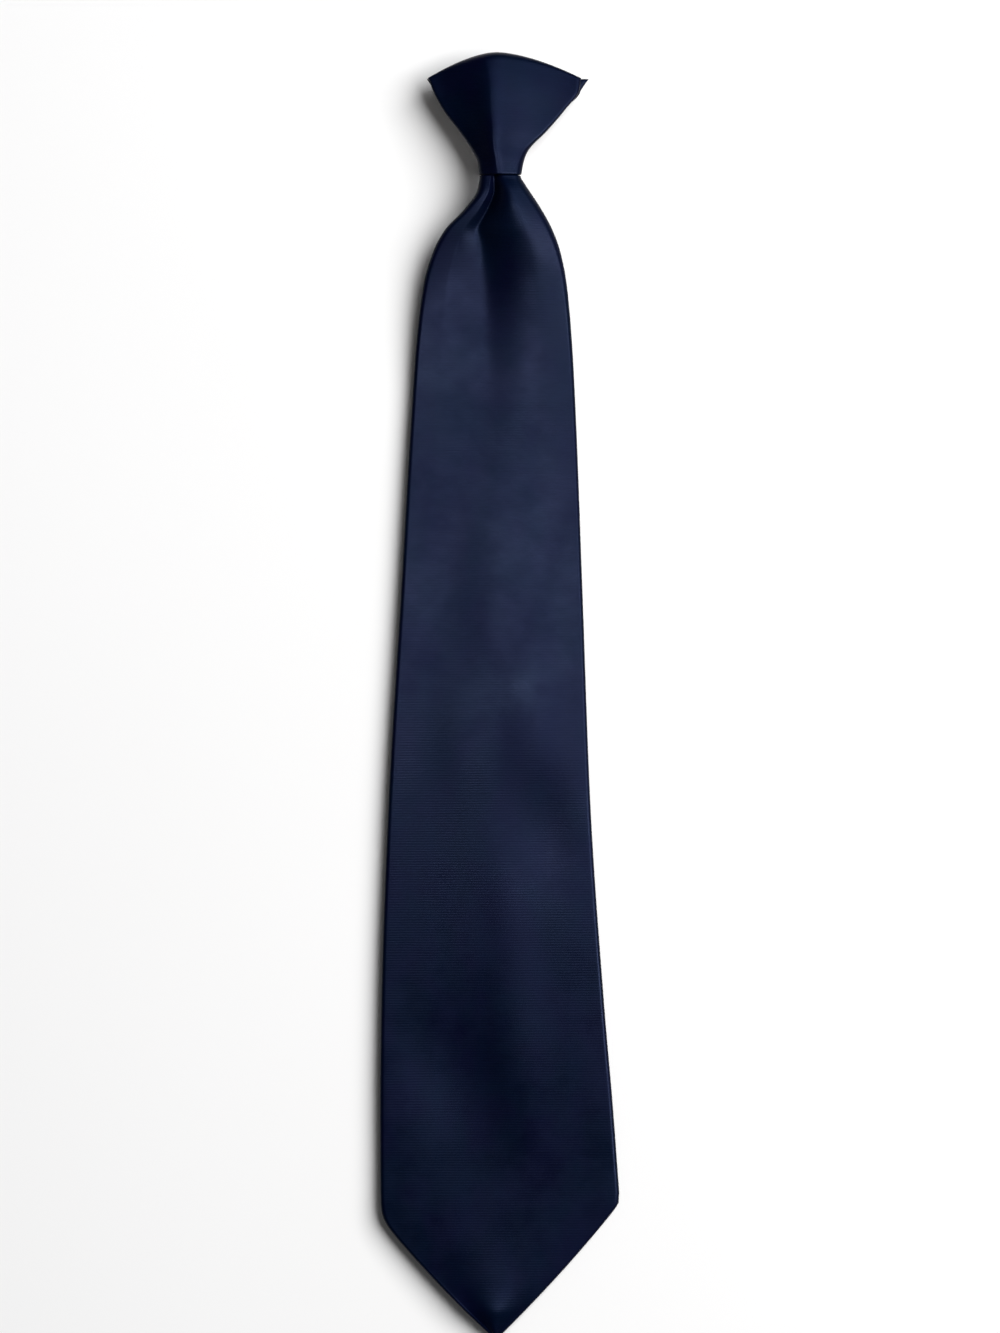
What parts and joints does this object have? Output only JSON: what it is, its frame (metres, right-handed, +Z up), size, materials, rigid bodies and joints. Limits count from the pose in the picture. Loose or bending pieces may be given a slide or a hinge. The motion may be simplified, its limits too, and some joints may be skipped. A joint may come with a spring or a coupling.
{
  "type": "clip-on necktie",
  "caption": "Ready-tied necktie with a fan-shaped knot, a long blade ending in a point and a hook that hangs it on a shirt's collar band.",
  "frame": {"origin": "on the surface that the tie lies on, under the middle of its outline", "axes": "+Y from the blade's point to the knot, +Z up through the front of the tie, +X to the right when its front is seen with the knot at the top"},
  "size_m": [0.085, 0.457, 0.0215],
  "materials": {
    "tie_fabric": "navy ribbed satin",
    "hook_steel": "plain bright steel"
  },
  "bodies": {
    "root": {"blade": "tie_fabric", "knot": "tie_fabric", "wing_panel": "tie_fabric", "collar_hook": "hook_steel"}
  },
  "joints": []
}
